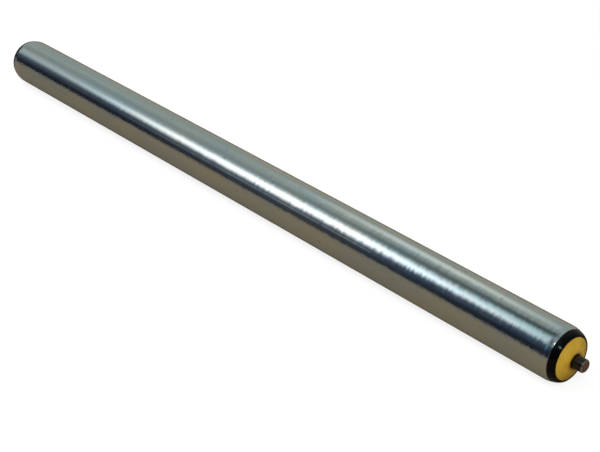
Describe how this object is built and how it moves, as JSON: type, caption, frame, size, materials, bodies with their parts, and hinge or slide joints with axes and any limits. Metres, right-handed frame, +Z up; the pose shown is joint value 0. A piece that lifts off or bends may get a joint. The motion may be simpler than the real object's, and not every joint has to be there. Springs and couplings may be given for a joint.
{
  "type": "conveyor roller",
  "caption": "Straight steel conveyor roller on a spring-loaded round spindle, with domed plastic seals in black bearing housings at both ends.",
  "frame": {"origin": "centre of the roller, on the spindle's axis and half-way between the spindle's tips", "axes": "+X along the spindle towards the end with the spring, +Z up, with the roller lying level as it does in a conveyor frame"},
  "size_m": [0.8382, 0.0498, 0.05],
  "materials": {
    "zinc_steel": "zinc-plated drawn tube, fine lengthwise lines",
    "dark_steel": "dark oiled bar steel",
    "black_polyamide": "glossy black moulding",
    "yellow_polypropylene": "satin golden yellow moulding",
    "bush_polyamide": "matt black moulding",
    "bearing_steel": "ground bearing steel",
    "ball_steel": "polished",
    "cage_polyamide": "natural moulding",
    "shield_steel": "pressed sheet",
    "spring_steel": "oiled spring wire",
    "washer_steel": "zinc-plated",
    "ring_steel": "phosphated"
  },
  "bodies": {
    "spindle": {"spindle": "dark_steel", "spring": "spring_steel", "spring_stop_washer": "washer_steel", "spring_stop_ring": "ring_steel", "far_stop_ring": "ring_steel"},
    "bearing_core": {"near_bush": "bush_polyamide", "far_bush": "bush_polyamide", "near_inner_race": "bearing_steel", "far_inner_race": "bearing_steel", "spring_seat_washer": "washer_steel", "far_thrust_washer": "washer_steel"},
    "roller_shell": {"tube": "zinc_steel", "near_housing": "black_polyamide", "far_housing": "black_polyamide", "near_seal": "yellow_polypropylene", "far_seal": "yellow_polypropylene", "near_outer_race": "bearing_steel", "far_outer_race": "bearing_steel", "near_front_shield": "shield_steel", "near_back_shield": "shield_steel", "far_front_shield": "shield_steel", "far_back_shield": "shield_steel"},
    "near_ball_set": {"near_balls": "ball_steel", "near_ball_cage": "cage_polyamide"},
    "far_ball_set": {"far_balls": "ball_steel", "far_ball_cage": "cage_polyamide"}
  },
  "joints": [
    {"name": "spindle_push", "type": "slide", "parent": "spindle", "child": "bearing_core", "axis": [-1, 0, 0], "range_m": [0, 0.011], "stiffness_N_per_m": 1900, "springref_m": -0.015, "deforming": ["spring"]},
    {"name": "tube_spin", "type": "hinge", "parent": "bearing_core", "child": "roller_shell", "pos_m": [0, 0, 0], "axis": [1, 0, 0], "continuous": true},
    {"name": "near_cage_spin", "type": "hinge", "parent": "bearing_core", "child": "near_ball_set", "pos_m": [0.3945, 0, 0], "axis": [1, 0, 0], "continuous": true},
    {"name": "far_cage_spin", "type": "hinge", "parent": "bearing_core", "child": "far_ball_set", "pos_m": [-0.3945, 0, 0], "axis": [1, 0, 0], "continuous": true}
  ],
  "couplings": [
    {"joint": "near_cage_spin", "follows": "tube_spin", "ratio": 0.6013},
    {"joint": "far_cage_spin", "follows": "tube_spin", "ratio": 0.6013}
  ]
}
